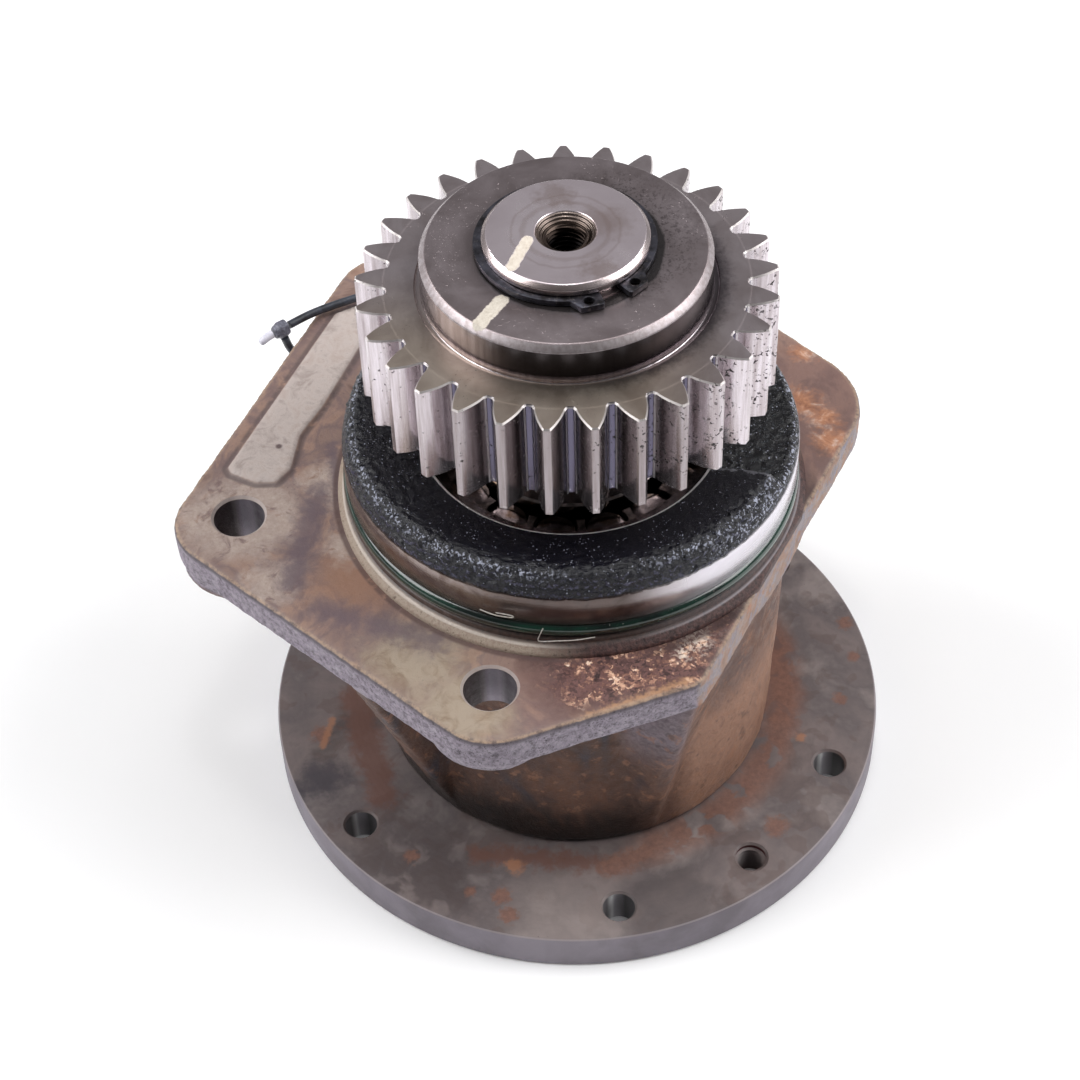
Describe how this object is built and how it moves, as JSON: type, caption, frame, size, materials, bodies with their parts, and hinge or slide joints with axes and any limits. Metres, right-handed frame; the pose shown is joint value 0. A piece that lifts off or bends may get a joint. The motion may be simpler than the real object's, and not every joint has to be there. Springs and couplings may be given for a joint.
{
  "type": "gear-driven flanged hub",
  "caption": "Spur gear and round drive flange on one shaft, carried by rolling bearings in a cast housing with a pilot spigot, O-ring and irregular mounting flange.",
  "frame": {"origin": "centre of the drive flange's outer face, on the shaft axis", "axes": "+Z along the shaft axis from the drive flange towards the gear; -Y is the side facing the viewer in the usual view"},
  "size_m": [0.1995, 0.188, 0.1934],
  "materials": {
    "housing_cast_iron": "rusty as-cast, oily black on the rim, machined spigot",
    "flange_steel": "turned steel with rust patches",
    "gear_steel": "ground tooth flanks, oily, pitted",
    "spring_steel": "blackened spring steel",
    "bearing_steel": "ground, oily",
    "cage_steel": "pressed steel with oil varnish",
    "green_rubber": "oily green elastomer",
    "seal_rubber": "black nitrile",
    "black_plastic": "dull black plastic",
    "white_plastic": "white plastic"
  },
  "bodies": {
    "housing": {"bearing_housing": "housing_cast_iron", "spigot_o_ring": "green_rubber", "upper_outer_ring": "bearing_steel", "lower_outer_ring": "bearing_steel", "upper_bearing_circlip": "spring_steel", "lower_bearing_circlip": "spring_steel", "shaft_seal": "seal_rubber", "seal_garter_spring": "bearing_steel", "tie_cord": "black_plastic", "tie_lock": "black_plastic", "tie_tail": "white_plastic"},
    "rotor": {"output_shaft": "flange_steel", "drive_gear": "gear_steel", "gear_circlip": "spring_steel", "upper_inner_ring": "bearing_steel", "lower_inner_ring": "bearing_steel", "bearing_spacer": "flange_steel"},
    "roller_complement": {"upper_cage": "cage_steel", "roller_01": "bearing_steel", "roller_02": "bearing_steel", "roller_03": "bearing_steel", "roller_04": "bearing_steel", "roller_05": "bearing_steel", "roller_06": "bearing_steel", "roller_07": "bearing_steel", "roller_08": "bearing_steel", "roller_09": "bearing_steel", "roller_10": "bearing_steel", "roller_11": "bearing_steel", "roller_12": "bearing_steel", "roller_13": "bearing_steel", "roller_14": "bearing_steel", "roller_15": "bearing_steel"},
    "ball_complement": {"lower_cage": "cage_steel", "ball_01": "bearing_steel", "ball_02": "bearing_steel", "ball_03": "bearing_steel", "ball_04": "bearing_steel", "ball_05": "bearing_steel", "ball_06": "bearing_steel", "ball_07": "bearing_steel", "ball_08": "bearing_steel", "ball_09": "bearing_steel", "ball_10": "bearing_steel"}
  },
  "joints": [
    {"name": "shaft_spin", "type": "hinge", "parent": "housing", "child": "rotor", "pos_m": [0, 0, 0.08], "axis": [0, 0, 1], "continuous": true},
    {"name": "roller_cage_spin", "type": "hinge", "parent": "housing", "child": "roller_complement", "pos_m": [0, 0, 0.1127], "axis": [0, 0, 1], "continuous": true},
    {"name": "ball_cage_spin", "type": "hinge", "parent": "housing", "child": "ball_complement", "pos_m": [0, 0, 0.0391], "axis": [0, 0, 1], "continuous": true}
  ],
  "couplings": [
    {"joint": "roller_cage_spin", "follows": "shaft_spin", "ratio": 0.416},
    {"joint": "ball_cage_spin", "follows": "shaft_spin", "ratio": 0.4079}
  ]
}
